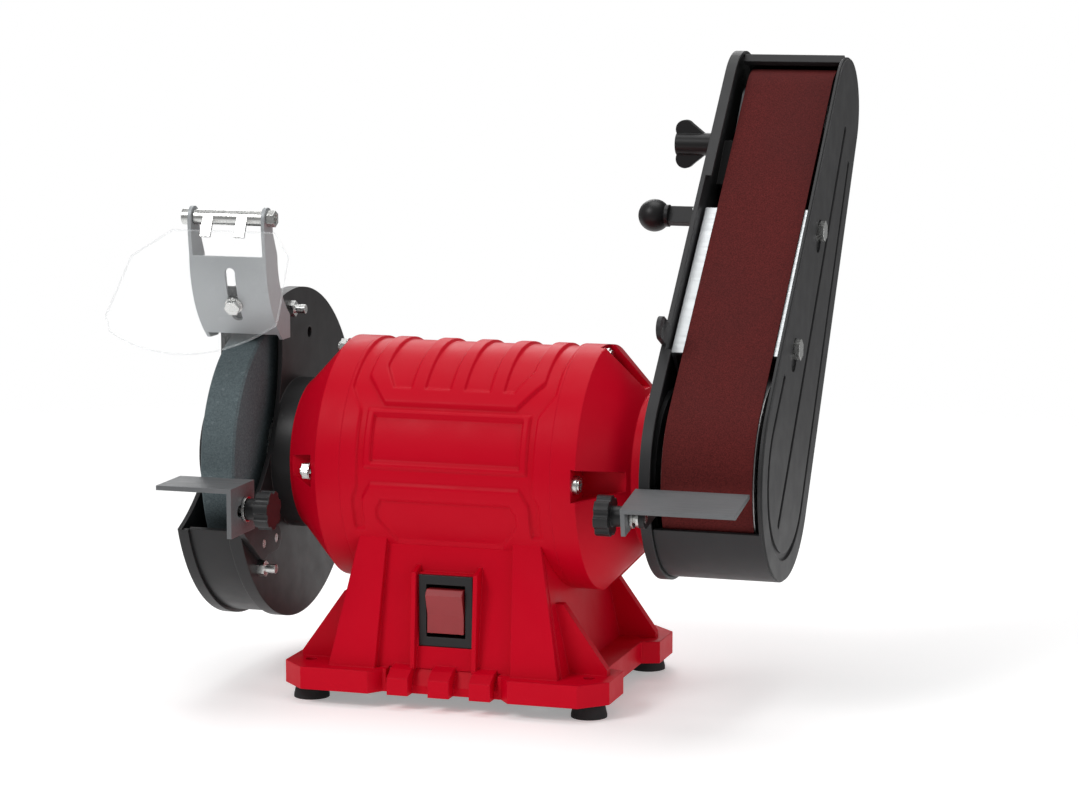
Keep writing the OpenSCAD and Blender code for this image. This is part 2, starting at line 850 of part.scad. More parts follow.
module inner_housing() {
    wall = 2.6;
    color(black) on_arm() difference() {
        union() {
            // Side plate with a rim, which is left off beside the platen
            difference() {
                slab_x(rim_x, rim_end) tangent_2d(rim_r1, rim_r2, arm_len);
                slab_x(rim_x + wall, rim_end + 1) tangent_2d(rim_r1 - 1.8, rim_r2 - 1.8, arm_len);
                box([rim_x + wall, -80, 44], [120, 0, 166]);
            }
            // Slotted ear beside the platen
            slab_x(rim_x, rim_x + wall) difference() {
                slot_2d([-42, 57], [-66, 51], 6.5);
                slot_2d([-66, 48], [-64, 55], 2.6);
            }
            // Seat of the tension spring
            box([rim_x + 1, -6, 140], [carriage_x2, 6, 146]);
            // Guides beside the carriage
            for (s = [-1, 1])
                box([rim_x + 1, s * 17 - 2, 176], [carriage_x2, s * 17 + 2, 206]);
        }
        // Bore that turns on the end bell's spigot
        translate([90, 0, 0]) rotate([0, 90, 0]) cylinder(r = spigot_r + 0.06, h = 30);
        slab_x(100, 120) slot_2d([0, lever_at - 6], [0, lever_at + 3], 5);
        slab_x(90, 120) translate(tracking_at) circle(3.1);
        for (p = cover_boss)
            slab_x(90, 120) translate(p) circle(2.2);
    }
}

module arm_clamp_ring() {
    color(steel) difference() {
        ring_x(neck_end, neck_end + 2.5, 46, 20);
        for (a = [60:120:300])
            on_shaft() rotate(a) translate([30.5, 0, 100]) cylinder(r = 2.6, h = 20, $fn = 24);
    }
}

module arm_clamp_screws() {
    color(steel) for (a = [60:120:300])
        on_shaft() rotate(a) translate([30.5, 0, neck_end - 7]) {
            cylinder(r = 2.5, h = 10, $fn = 24);
            translate([0, 0, 9.5]) cylinder(r = 4.5, h = 2.5);
        }
}

module outer_cover() {
    wall = 1.8;
    lip = 24;
    groove = 1.3;
    color(black) on_arm() difference() {
        union() {
            // Face and wall in one, open at the front between the lower lip and the tip's lip
            difference() {
                slab_x(rim_end + 0.2, cover_x - 1) tangent_2d(cover_r1, cover_r2, arm_len);
                slab_x(rim_end, cover_x - 2.5)
                    tangent_2d(cover_r1 - wall, cover_r2 - wall, arm_len);
                slab_x(rim_end, cover_x - 2.5) rotate(arm_tilt)
                    polygon([[0, 0], 90 * [-cos(lip), -sin(lip)], [-120, 0], [0, 80]]);
                slab_x(rim_end, cover_x - 2.5)
                    polygon([[-20, 40], [-90, 0], [-90, arm_len + 23], [0, arm_len + 23],
                        [0, arm_len], [-20, arm_len]]);
            }
            // Folded lip at the tip, above the belt
            box([rim_end + 0.3, -22.6, arm_len + 19.5], [cover_x - 2, -18.6, arm_len + 24.5]);
            // Step that softens the face's edge
            slab_x(cover_x - 1.2, cover_x) tangent_2d(cover_r1 - 0.8, cover_r2 - 0.8, arm_len);
        }
        // Groove round the lower end, short at the front and right up at the back
        slab_x(cover_x - groove, cover_x + 1) difference() {
            tangent_2d(cover_r1 - 12, cover_r2 - 12, arm_len);
            tangent_2d(cover_r1 - 16, cover_r2 - 16, arm_len);
            translate([-90, 40]) square([90, 300]);
            translate([-90, arm_len - 20]) square([180, 100]);
        }
        slab_x(cover_x - groove, cover_x + 1) slot_2d([0, -30], [0, arm_len - 12], 2.4);
        for (p = cover_boss) {
            slab_x(cover_x - 3, cover_x + 1) translate(p) circle(2.2);
            slab_x(cover_x - groove, cover_x + 1) slot_2d(p, p - [0, 7], 6.4);
        }
    }
}

module cover_screws() {
    color(steel) on_arm() for (p = cover_boss) {
        slab_x(rim_x - 3, cover_x - 0.8) translate(p) circle(2.1, $fn = 24);
        slab_x(cover_x - 1.3, cover_x + 3.2) translate(p) circle(d = 10 / cos(30), $fn = 6);
        slab_x(rim_x - 3.2, rim_x) translate(p) circle(d = 7 / cos(30), $fn = 6);
    }
}

// Steel channel behind the belt's front run
module platen() {
    from = 40;
    to = 144;
    x1 = 111;
    x2 = 171.3;
    t = 2;
    color([0.85, 0.87, 0.88]) difference() {
        on_run() {
            box([x1, -drive_r, from], [x2, -drive_r + t, to]);
            for (x = [x1, x2 - t])
                box([x, -drive_r, from], [x + t, -drive_r + 26, to]);
        }
        on_arm() for (p = cover_boss)
            slab_x(90, 180) translate(p) circle(2.2);
    }
}

module sanding_belt() {
    inner = belt_gap;
    outer = belt_gap + belt_t;
    color([0.35, 0.12, 0.12]) on_arm() slab_x(belt_x - belt_w / 2, belt_x + belt_w / 2) difference() {
        tangent_2d(drive_r + outer, idler_r + outer, arm_len, $fn = 160);
        tangent_2d(drive_r + inner, idler_r + inner, arm_len, $fn = 160);
    }
}

module drive_pulley() {
    x1 = 117.6;
    x2 = 168.6;
    hub_end = 158;
    color([0.72, 0.73, 0.74]) on_shaft() rotate_extrude($fn = 160)
        polygon([[end_r, neck_end + 4], [14, neck_end + 4], [14, 138], [drive_r - 5, 138],
            [drive_r - 5, x1], [drive_r, x1], [drive_r, x2], [drive_r - 5, x2],
            [drive_r - 5, 146], [14, 146], [14, hub_end], [end_r, hub_end]]);
}

module pulley_nut() {
    color(steel) difference() {
        hex_x(158, 164.5, 0, shaft_h, 19);
        rod_x(156, 166, 0, shaft_h, end_r);
    }
}

module idler_carriage() {
    color([0.4, 0.4, 0.42]) on_arm() difference() {
        union() {
            slab_x(carriage_x1, carriage_x2) slot_2d([0, 214], [0, arm_len], 14);
            box([carriage_x1, -14, 154], [carriage_x2, 14, 214]);
        }
        // Window that the lever's tip works in
        box([carriage_x1 - 1, -4, lever_at - 4.6], [carriage_x2 + 1, 4, lever_at + 4.6]);
        slab_x(carriage_x1 - 1, carriage_x2 + 1) translate([0, arm_len]) circle(5);
    }
}

module idler_axle() {
    color(steel) on_arm() translate([0, 0, arm_len]) rotate([0, 90, 0]) {
        translate([0, 0, carriage_x1]) cylinder(r = 5, h = 168 - carriage_x1);
        translate([0, 0, 167.2]) cylinder(r = 7, h = 1.6);
    }
}

module idler_pulley() {
    color([0.2, 0.2, 0.21]) on_arm() translate([0, 0, arm_len]) rotate([0, 90, 0]) difference() {
        translate([0, 0, 118]) cylinder(r = idler_r, h = 49, $fn = 128);
        translate([0, 0, 117]) cylinder(r = 5.05, h = 52);
        translate([0, 0, 117]) cylinder(r = 15, h = 7);
        translate([0, 0, 161]) cylinder(r = 15, h = 7);
    }
}

// Coil spring that pushes the carriage up the arm
module tension_spring() {
    turns = 5;
    steps = 12;
    length = 7.6;
    coil_r = 2.2;
    wire_r = 0.5;
    function at(i) = [tip_x + coil_r * cos(i * 360 / steps), coil_r * sin(i * 360 / steps),
        146.4 + wire_r + (length - 2 * wire_r - 0.4) * i / (turns * steps)];
    count = turns * steps;
    rings = [for (i = [0:count]) for (j = [0:5])
        at(i) + wire_r * [cos(j * 60) * cos(i * 360 / steps), cos(j * 60) * sin(i * 360 / steps),
            sin(j * 60)]];
    sides = [for (i = [0:count - 1]) for (j = [0:5])
        [i * 6 + j, i * 6 + (j + 1) % 6, (i + 1) * 6 + (j + 1) % 6, (i + 1) * 6 + j]];
    ends = [[5, 4, 3, 2, 1, 0], [for (j = [0:5]) count * 6 + j]];
    color(steel) on_arm() polyhedron(rings, concat(sides, ends), convexity = 4);
}

module tension_lever() {
    t = 2;
    color(black) on_arm() difference() {
        translate([0, t, lever_at]) rotate([90, 0, 0]) linear_extrude(2 * t) union() {
            translate([80, -5.5]) square([22, 11]);
            translate([101.9, -3.4]) square([tip_x - 102, 6.8]);
            translate([tip_x, 0]) circle(4.2);
        }
        translate([lever_pivot_x, 10, lever_at]) rotate([90, 0, 0]) cylinder(r = 2.56, h = 20);
    }
}

module lever_ball() {
    ball_r = 9.4;
    collar_end = 9;
    color([0.1, 0.1, 0.1]) on_arm() translate([80 - collar_end, 0, lever_at]) rotate([0, 90, 0])
        rotate_extrude($fn = 64) intersection() {
            union() {
                circle(ball_r, $fn = 64);
                square([6.4, collar_end]);
            }
            translate([0, -ball_r - 1]) square([ball_r + 1, ball_r + 1 + collar_end]);
        }
}

// Bolt that the lever turns on, in the two cheeks of a small steel bracket
module lever_pivot_bolt() {
    color(steel) on_arm() {
        translate([lever_pivot_x, 8, lever_at]) rotate([90, 0, 0]) cylinder(r = 2.5, h = 14, $fn = 48);
        translate([lever_pivot_x, -5.2, lever_at]) rotate([90, 0, 0])
            cylinder(d = 7 / cos(30), h = 3, $fn = 6);
        for (y = [-5.2, 2.4])
            box([lever_pivot_x - 4, y, lever_at - 5], [rim_x, y + 2.8, lever_at + 5]);
    }
}

// Wing knob whose screw tilts the idler, drawn along +Z
module tracking_knob() {
    color([0.1, 0.1, 0.1]) on_arm() translate([78, tracking_at.x, tracking_at.y])
        rotate([arm_tilt, 0, 0]) rotate([0, 90, 0]) {
        cylinder(r = 6.6, h = 26);
        translate([0, 0, 20]) cylinder(r = 3, h = 14.6);
        for (s = [0, 1])
            mirror([s, 0, 0]) rotate([90, 0, 0]) translate([0, 0, -2.4]) linear_extrude(4.8)
                union() {
                    translate([8.6, 5]) circle(5.4);
                    polygon([[0, 0.5], [8, 0], [13.6, 7.2], [5, 18], [0, 18]]);
                }
    }
}

// ---------- right work rest ----------

right_bolt_y = -78;
right_bolt_z = 114;

module right_rest_bracket() {
    color(black) difference() {
        union() {
            slab_x(rim_end + 0.4, rim_end + 3.4)
                slot_2d([right_bolt_y, right_bolt_z], [-51.6, 118.5], 6);
            slab_x(rim_x + 2.6, rim_end + 3) translate([-51.6, 118.5]) circle(5.2);
        }
        rod_x(110, 120, right_bolt_y, right_bolt_z, 3);
    }
}

module right_rest_bolt() {
    color(steel) {
        rod_x(93.6, rim_end + 3.4, right_bolt_y, right_bolt_z, 3);
        rod_x(108.5, 109.9, right_bolt_y, right_bolt_z, 6);
        rod_x(111.6, rim_end + 0.4, right_bolt_y, right_bolt_z, 5.4);
    }
}

module right_tool_rest() {
    x1 = 105.7;
    t = 2.4;
    slope = 11;
    back_y = -61;
    back_z = 126.2;
    depth = 31.5;
    leg = 15;
    color(steel) difference() {
        union() {
            translate([0, back_y, back_z]) rotate([slope, 0, 0]) {
                box([x1, -depth, -t], [168, 0, 0]);
                box([x1, -depth, -leg], [x1 + t, -3.5, 0]);
            }
        }
        slab_x(x1 - 1, x1 + t + 1)
            slot_2d([right_bolt_y - 2, right_bolt_z], [right_bolt_y + 8, right_bolt_z], 3.3);
    }
}

module right_rest_knob() {
    color([0.1, 0.1, 0.1]) translate([90, right_bolt_y, right_bolt_z]) rotate([0, 90, 0])
        star_knob(11, 8, 5.6, 7.2, 3.05);
}

motor_shell();
left_end_bell();
right_end_bell();
base_housing();
base_plate();
rubber_feet();
base_plate_screws();
stator_core();
stator_windings();
run_capacitor();
through_bolts();
through_bolt_nuts();
switch_bezel();
switch_rocker();
cable_gland();
bearing_outer_rings();
bearing_inner_rings();
bearing_balls();
motor_shaft();
rotor_core();
rotor_end_rings();
inner_wheel_guard();
outer_wheel_guard();
guard_screws();
guard_mount_screws();
inner_wheel_flange();
outer_wheel_flange();
grinding_wheel();
wheel_nut();
drive_pulley();
pulley_nut();
spark_deflector();
deflector_screw();
shield_pivot_bolt();
shield_pivot_nut();
shield_hinge_sleeve();
eye_shield();
left_rest_bracket();
left_rest_bolt();
left_tool_rest();
left_rest_knob();
inner_housing();
outer_cover();
cover_screws();
arm_clamp_ring();
arm_clamp_screws();
platen();
sanding_belt();
idler_carriage();
idler_axle();
idler_pulley();
tension_spring();
tension_lever();
lever_ball();
lever_pivot_bolt();
tracking_knob();
right_rest_bracket();
right_rest_bolt();
right_tool_rest();
right_rest_knob();
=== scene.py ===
# %% [markdown]
# # A bench grinder with a belt sander
#
# The machine has a red cast motor in the middle, a grinding wheel in a guard on the left and a belt
# sander on a tilting arm on the right. Its working parts come from the CAD model. This file gives
# them their finishes, adds the barrel's relief and a coil for the tension spring, and sets up a plain
# studio.

# %% Load the frame
import json
import math

import bpy
import numpy as np
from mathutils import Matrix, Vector


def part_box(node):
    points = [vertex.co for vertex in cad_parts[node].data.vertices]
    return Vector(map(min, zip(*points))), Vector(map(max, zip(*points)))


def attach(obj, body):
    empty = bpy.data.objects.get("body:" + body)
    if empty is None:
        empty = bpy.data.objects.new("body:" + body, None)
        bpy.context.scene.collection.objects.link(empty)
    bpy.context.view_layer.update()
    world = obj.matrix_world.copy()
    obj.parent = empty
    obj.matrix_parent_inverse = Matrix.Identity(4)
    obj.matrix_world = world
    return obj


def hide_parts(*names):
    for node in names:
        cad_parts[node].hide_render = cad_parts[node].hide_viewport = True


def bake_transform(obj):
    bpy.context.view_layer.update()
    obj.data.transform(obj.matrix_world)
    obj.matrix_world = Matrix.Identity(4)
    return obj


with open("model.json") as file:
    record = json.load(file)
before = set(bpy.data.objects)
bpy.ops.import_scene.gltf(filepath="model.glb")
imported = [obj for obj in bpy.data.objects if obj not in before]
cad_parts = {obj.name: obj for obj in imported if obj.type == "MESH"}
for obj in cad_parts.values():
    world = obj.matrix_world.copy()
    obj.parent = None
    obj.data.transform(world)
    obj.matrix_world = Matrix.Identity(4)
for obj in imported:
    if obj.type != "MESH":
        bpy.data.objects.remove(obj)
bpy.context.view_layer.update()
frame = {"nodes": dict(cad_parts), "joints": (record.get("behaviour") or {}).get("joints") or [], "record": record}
node = frame["nodes"]

# %% [markdown]
# ## Camera
#
# A long lens from the front right, a little above the shaft, keeps the machine's upright edges
# nearly parallel. A camera looks along its own -Z, so it is tipped up from straight down and then
# turned.

# %% Camera
camera = bpy.data.objects.new("camera", bpy.data.cameras.new("camera"))
camera.data.lens = 109.26
camera.data.sensor_width = 36.0
camera.location = (0.5647, -1.7151, 0.4281)
camera.rotation_euler = (math.radians(90 - 8.349), 0, math.radians(17.212))
bpy.context.collection.objects.link(camera)
bpy.context.scene.camera = camera
print("camera", round(camera.location.length, 3), "m from the origin")

# %% [markdown]
# ## Studio
#
# Product light is soft and comes from large panels: a key from the upper left, a weaker fill from
# the right, one overhead and one behind that draws a bright line along the top edges. The floor
# fades into the bright surroundings, so it has no visible edge.

# %% Lights
def soft_panel(name, place, size, power):
    """A square lamp at a place, aimed at the motor's middle."""
    lamp = bpy.data.lights.new(name, "AREA")
    lamp.size = size
    lamp.energy = power
    panel = bpy.data.objects.new(name, lamp)
    panel.location = place
    aim = Vector((0, 0, 0.15)) - panel.location
    panel.rotation_euler = aim.to_track_quat("-Z", "Y").to_euler()
    bpy.context.collection.objects.link(panel)
    return panel


soft_panel("key", (-0.9, -1.3, 1.5), 0.7, 15)
soft_panel("fill", (1.7, -0.7, 0.7), 0.9, 5)
soft_panel("overhead", (0.0, 0.3, 1.8), 1.3, 14)
soft_panel("back", (-0.6, 1.5, 1.0), 0.8, 6)
scene = bpy.context.scene
scene.view_settings.view_transform = "Standard"
scene.world = bpy.data.worlds.new("studio")
scene.world.use_nodes = True
sky = scene.world.node_tree
surroundings = sky.nodes["Background"]
surroundings.inputs["Color"].default_value = (1, 1, 1, 1)
# The camera sees white, but the surroundings light the machine less, so that the panels shape it
seen = sky.nodes.new("ShaderNodeLightPath").outputs["Is Camera Ray"]
brightness = sky.nodes.new("ShaderNodeMapRange")
sky.links.new(seen, brightness.inputs["Value"])
brightness.inputs["To Min"].default_value = 0.30
brightness.inputs["To Max"].default_value = 1.0
sky.links.new(brightness.outputs[0], surroundings.inputs["Strength"])

# %% [markdown]
# ## How a surface becomes a mesh
#
# Every new piece is a grid of points that a formula places. Neighbouring points make the faces.
# Where the grid closes on itself, its last column joins the first one, so no seam is left.

# %% Grid surface
def surface(name, points, around=False, along=False):
    """A mesh from points[row, column] = (x, y, z). around joins the last column to the first, along
    joins the last row to the first."""
    rows, columns = points.shape[:2]
    index = np.arange(rows * columns).reshape(rows, columns)
    if around:
        index = np.hstack([index, index[:, :1]])
    if along:
        index = np.vstack([index, index[:1]])
    corners = [index[:-1, :-1], index[:-1, 1:], index[1:, 1:], index[1:, :-1]]
    quads = np.stack(corners, -1).reshape(-1, 4)
    mesh = bpy.data.meshes.new(name)
    mesh.from_pydata(points.reshape(-1, 3).tolist(), [], quads.tolist())
    mesh.polygons.foreach_set("use_smooth", [True] * len(mesh.polygons))
    mesh.update()
    piece = bpy.data.objects.new(name, mesh)
    bpy.context.collection.objects.link(piece)
    return piece


# %% Floor
way_round = np.linspace(0, 2 * math.pi, 97)[:-1]
reach = np.array([0.0001, 0.5, 1, 2, 4])[:, None]
disc = np.stack([reach * np.cos(way_round), reach * np.sin(way_round), 0 * reach * way_round], -1)
floor = surface("floor", disc, around=True)
print("floor", reach.max() * 2, "m across")

# %% [markdown]
# ## A finish, step by step
#
# A finish starts from the Principled shader. Noise gives it slow changes of colour and fine grain,
# and a bevel normal rounds the sharp edges that every real casting and pressing has. The difference
# between the bevelled normal and the true one is large only at an edge, which is where a lighter
# colour is mixed in as a painted highlight.

# %% Finish
class Finish:
    """A material that is built up from nodes reading Object coordinates."""

    def __init__(self, name, rough, metallic=0.0, **sockets):
        self.material = bpy.data.materials.new(name)
        self.material.use_nodes = True
        self.tree = self.material.node_tree
        self.shader = self.tree.nodes["Principled BSDF"]
        self.shader.inputs["Roughness"].default_value = rough
        self.shader.inputs["Metallic"].default_value = metallic
        for socket, value in sockets.items():
            self.shader.inputs[socket.replace("_", " ")].default_value = value
        self.place = self.node("TexCoord").outputs["Object"]
        self.edge_normal = None

    def node(self, kind, inputs=(), **settings):
        """A node of this kind, with settings on itself and values or links on its inputs."""
        made = self.tree.nodes.new("ShaderNode" + kind)
        for name, value in settings.items():
            setattr(made, name, value)
        for socket, value in dict(inputs).items():
            if isinstance(value, bpy.types.NodeSocket):
                self.tree.links.new(value, made.inputs[socket])
            else:
                made.inputs[socket].default_value = value
        return made

    def noise(self, scale, detail=3.0, stretch=(1, 1, 1)):
        """Soft noise, scale features a metre. A stretch below 1 lengthens them along that axis."""
        place = self.node("Mapping", {"Vector": self.place, "Scale": stretch}).outputs[0]
        return self.node("TexNoise", {"Vector": place, "Scale": scale, "Detail": detail}).outputs[0]

    def grains(self, scale):
        """Round cells with a random colour each, like grit, scale cells a metre."""
        return self.node("TexVoronoi", {"Vector": self.place, "Scale": scale}).outputs["Color"]

    def spread(self, value, low, high, start=0.0, end=1.0):
        """value carried from low..high to start..end and held there."""
        return self.node("MapRange", {0: value, 1: low, 2: high, 3: start, 4: end}).outputs[0]

    def blend(self, amount, first, second):
        """A colour between first and second."""
        mix = self.node("Mix", {0: amount, 6: first, 7: second}, data_type="RGBA")
        return mix.outputs[2]

    def edges(self, radius, low=0.02, high=0.25):
        """1 within radius metres of a sharp outer or inner edge, 0 on flats. It rounds them too."""
        self.edge_normal = self.node("Bevel", {"Radius": radius}, samples=4).outputs[0]
        flat = self.node("NewGeometry").outputs["Normal"]
        both = {0: self.edge_normal, 1: flat}
        same = self.node("VectorMath", both, operation="DOT_PRODUCT").outputs["Value"]
        return self.spread(same, 1 - low, 1 - high)

    def with_painted_edge_highlight(self, edge, amount, tone, highlight_colour):
        """tone, with this amount of a brighter colour mixed in at the edges: a painted highlight."""
        return self.blend(self.spread(edge, 0, 1, 0, amount), tone, highlight_colour)

    def patches(self, scale, low, high):
        """A slow noise between low and high, for a roughness that isn't even."""
        return self.spread(self.noise(scale), 0.3, 0.7, low, high)

    def bump(self, height, distance, strength=1.0):
        """Raises the surface by height times distance metres."""
        inputs = {"Height": height, "Distance": distance, "Strength": strength}
        if self.edge_normal:
            inputs["Normal"] = self.edge_normal
        self.edge_normal = self.node("Bump", inputs).outputs[0]

    def done(self, colour, rough=None):
        """Links colour, roughness and normal to the shader and gives back the material."""
        self.tree.links.new(colour, self.shader.inputs["Base Color"])
        if rough:
            self.tree.links.new(rough, self.shader.inputs["Roughness"])
        if self.edge_normal:
            self.tree.links.new(self.edge_normal, self.shader.inputs["Normal"])
        return self.material


finishes = {}

# %% [markdown]
# ## Enamelled castings
#
# The motor, its end bells and the base are aluminium castings in red enamel. Sprayed enamel pulls
# into a faint orange peel, which two noises raise, and a lighter red along the edges is a painted
# highlight.

# %% Red enamel
f = Finish("red enamel", 0.42, Specular_IOR_Level=0.09)
edge = f.edges(0.0009)
tone = f.blend(f.noise(14), (0.56, 0.0004, 0.013, 1), (0.62, 0.0008, 0.017, 1))
f.bump(f.noise(900, 2), 0.00006, 0.5)
f.bump(f.noise(160, 2), 0.0001, 0.25)
# The edges get a painted highlight of brighter red.
finishes["red_casting"] = f.done(
    f.with_painted_edge_highlight(edge, 0.3, tone, (0.85, 0.02, 0.05, 1)), f.patches(60, 0.37, 0.48))
print("red enamel on the castings")

# %% [markdown]
# ## Black sheet steel and black plastic
#
# Guards and brackets are pressed sheet in a satin black paint with a fine leather grain. Knobs and
# bezel are moulded and smoother, the sander's covers a little greyer, the feet dull. Each has a
# painted highlight of lighter grey along its edges, brightest on the sander's covers.

# %% Black finishes
def black(name, dark, light, rough, grain, height, edge_highlight_grey):
    """A black finish between two greys. Its bump has grain features a metre, height metres high."""
    f = Finish(name, rough, Specular_IOR_Level=0.3)
    edge = f.edges(0.0008)
    tone = f.blend(f.noise(12), (dark, dark, dark * 1.05, 1), (light, light, light * 1.05, 1))
    f.bump(f.noise(grain, 2), height, 0.6)
    # Lighter grey at the edges is a painted highlight.
    highlight_grey = (edge_highlight_grey, edge_highlight_grey, edge_highlight_grey, 1)
    return f.done(f.with_painted_edge_highlight(edge, 0.5, tone, highlight_grey), f.patches(90, rough - 0.03, rough + 0.04))


# Slot: name, dark grey, light grey, roughness, grain, its height, grey of the painted edge highlight
BLACKS = {
    "plate_steel": ("black paint", 0.014, 0.018, 0.42, 1100, 0.00006, 0.09),
    "black_plastic": ("black plastic", 0.012, 0.02, 0.38, 1600, 0.00003, 0.08),
    "black_housing": ("black housing", 0.02, 0.034, 0.46, 1400, 0.00006, 0.12),
    "rubber": ("rubber", 0.014, 0.026, 0.75, 700, 0.0001, 0.05),
}
for slot, look in BLACKS.items():
    finishes[slot] = black(*look)
print(len(BLACKS), "black finishes")

# %% [markdown]
# ## Metals
#
# Zinc-plated screws are bright with a faint mottle. Rolled and brushed steel carries fine lines one
# way, which are noise stretched along one axis. Cast aluminium is duller and sandy. The deflector
# and the work rests have a satin plating, which looks less like bare metal.

# %% Metals
def metal(name, dark, light, rough, stretch, lines=900, metallic=1.0):
    """A metal between two colours, with fine lines along the axis where stretch is smallest."""
    f = Finish(name, rough, metallic=metallic)
    edge = f.edges(0.0005)
    streak = f.noise(lines, 4, stretch)
    tone = f.blend(f.noise(40), (*dark, 1), (*light, 1))
    f.bump(streak, 0.00004, 0.4)
    # A lighter colour at the edges is a painted highlight.
    highlight_colour = (*(min(1, c * 1.25) for c in light), 1)
    uneven = f.spread(streak, 0.3, 0.7, rough - 0.08, rough + 0.1)
    return f.done(f.with_painted_edge_highlight(edge, 0.6, tone, highlight_colour), uneven)


EVEN = (1, 1, 1)
ALONG_SHAFT = (0.06, 1, 1)
ACROSS_SHAFT = (1, 0.05, 0.05)
UPRIGHT = (1, 1, 0.08)
PLATED = 0.35

# Slot: name, dark colour, light colour, roughness, stretch, then lines a metre and metallic
# where they aren't the usual ones
METALS = {
    "zinc_steel": ("zinc plate", (0.52, 0.52, 0.5), (0.68, 0.69, 0.68), 0.28, EVEN, 500),
    "platen_steel": ("satin steel", (0.48, 0.5, 0.51), (0.6, 0.62, 0.63), 0.4, ALONG_SHAFT),
    "core_steel": ("core steel", (0.28, 0.29, 0.3), (0.4, 0.41, 0.42), 0.45, ACROSS_SHAFT),
    "copper": ("winding copper", (0.5, 0.16, 0.05), (0.72, 0.28, 0.1), 0.35, (0.05, 1, 1)),
    "cast_aluminium": ("cast aluminium", (0.5, 0.5, 0.5), (0.66, 0.66, 0.66), 0.42, EVEN),
    "deflector_steel": (
        "satin plate", (0.36, 0.38, 0.39), (0.42, 0.44, 0.455), 0.5, UPRIGHT, 900, PLATED),
    "rest_steel": (
        "satin rest plate", (0.13, 0.135, 0.14), (0.17, 0.176, 0.182), 0.5, (0.08, 1, 1),
        900, PLATED),
    "capacitor_can": ("capacitor can", (0.6, 0.6, 0.6), (0.75, 0.75, 0.75), 0.33, ACROSS_SHAFT),
}
for slot, look in METALS.items():
    finishes[slot] = metal(*look)
print(len(METALS), "metals")

# %% [markdown]
# ## Abrasives
#
# A grinding wheel is grit fused with a clay bond, so it is full of small pale and dark grains with
# pores between them. The belt is cloth with a dense coat of reddish brown grit.

# %% Wheel grit
f = Finish("bonded grit", 0.9, Specular_IOR_Level=0.2)
grain = f.grains(1500)
speck = f.grains(700)
tone = f.blend(grain, (0.085, 0.11, 0.118, 1), (0.15, 0.19, 0.202, 1))
tone = f.blend(f.spread(speck, 0.85, 0.95, 0, 0.3), tone, (0.28, 0.33, 0.35, 1))
tone = f.blend(f.spread(f.noise(35), 0.35, 0.7, 0, 0.2), tone, (0.08, 0.1, 0.106, 1))
f.bump(grain, 0.00025, 0.6)
finishes["abrasive_stone"] = f.done(tone)
print("grit on the grinding wheel")

# %% Belt grit
f = Finish("belt grit", 0.8, Specular_IOR_Level=0.15)
grain = f.grains(2600)
tone = f.blend(grain, (0.06, 0.007, 0.007, 1), (0.155, 0.02, 0.019, 1))
tone = f.blend(f.spread(f.noise(18), 0.4, 0.7, 0, 0.3), tone, (0.05, 0.014, 0.014, 1))
f.bump(grain, 0.00025, 0.7)
finishes["abrasive_belt"] = f.done(tone)
print("grit on the belt")

# %% [markdown]
# ## Switch and shield
#
# The rocker is a dull translucent red plastic. The eye shield is clear polycarbonate: nearly
# invisible face on, and brighter and greyer along its cut edges, where the light comes out.

# %% Rocker red
f = Finish("rocker plastic", 0.4, Coat_Weight=0.2)
edge = f.edges(0.0007)
tone = f.blend(f.noise(60), (0.27, 0.012, 0.016, 1), (0.34, 0.018, 0.024, 1))
f.bump(f.noise(1500), 0.00002)
# Its edges get a painted highlight of lighter red.
finishes["rocker_red"] = f.done(f.with_painted_edge_highlight(edge, 0.5, tone, (0.55, 0.1, 0.1, 1)))
print("red plastic on the rocker")

# %% Clear shield
f = Finish("clear shield", 0.06, IOR=1.45)
edge = f.edges(0.0012, 0.05, 0.4)
# How much of the light it stops: a little everywhere and more at the edges
haze = f.spread(f.noise(30, 5), 0.3, 0.75, 0.03, 0.06)
cover = f.node("Math", {0: haze, 1: f.spread(edge, 0, 1, 0, 0.6)}, operation="ADD").outputs[0]
f.tree.links.new(cover, f.shader.inputs["Alpha"])
# The rounded normal only finds the edges here: the sheet itself stays flat
f.edge_normal = None
tint = f.blend(edge, (0.86, 0.89, 0.9, 1), (0.45, 0.5, 0.52, 1))
finishes["clear_shield"] = f.done(tint, f.patches(200, 0.04, 0.12))
print("clear sheet on the eye shield")

# %% Floor finish, which fades out away from the machine
f = Finish("pale floor", 0.6, Specular_IOR_Level=0.1, Emission_Strength=0.3)
f.shader.inputs["Emission Color"].default_value = (1, 1, 1, 1)
from_middle = f.node("VectorMath", {0: f.place}, operation="LENGTH").outputs["Value"]
f.tree.links.new(f.spread(from_middle, 0.35, 1.1, 1, 0), f.shader.inputs["Alpha"])
floor.data.materials.append(f.done(f.blend(f.noise(3), (0.9, 0.9, 0.9, 1), (0.93, 0.93, 0.93, 1))))
print("pale floor")

# %% [markdown]
# ## The motor's barrel
#
# The barrel is a casting with a shallow relief: a blank plate in a raised frame, a stepped ring
# with ribs above it, and a long eight-sided panel below. Modelling each step as its own solid would
# leave hairline seams, so the whole outside is one grid round the shaft's axis and the relief is a
# height on it. Shapes come from half-widths: at each angle a shape is so many millimetres wide
# either side of the middle.

# %% Barrel relief
MM = 0.001
RELIEF = 1.6  # mm from the recessed level up to the end bells' radius
PLATE_DEPTH = 2.1  # mm from the raised frame down to the blank plate
PANEL_DEPTH = 1.4  # mm from the area round the eight-sided panel down to it
RIB_MIDDLES = (-20.5, 2, 24.5)  # mm along the shaft
RIB_HALF_WIDTH = 4
RIB_SIDE = 1.1  # mm that the slope at a rib's side takes
shaft_low, shaft_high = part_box("motor_shaft")
shaft_z = (shaft_low.z + shaft_high.z) / 2
bell_low, bell_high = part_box("left_end_bell")
bell_radius = (bell_high.y - bell_low.y) / 2


def soft_step(distance, width):
    """0 outside, 1 inside, with an S-shaped slope of this width where distance crosses 0."""
    t = np.clip(distance / width + 0.5, 0, 1)
    return t * t * (3 - 2 * t)


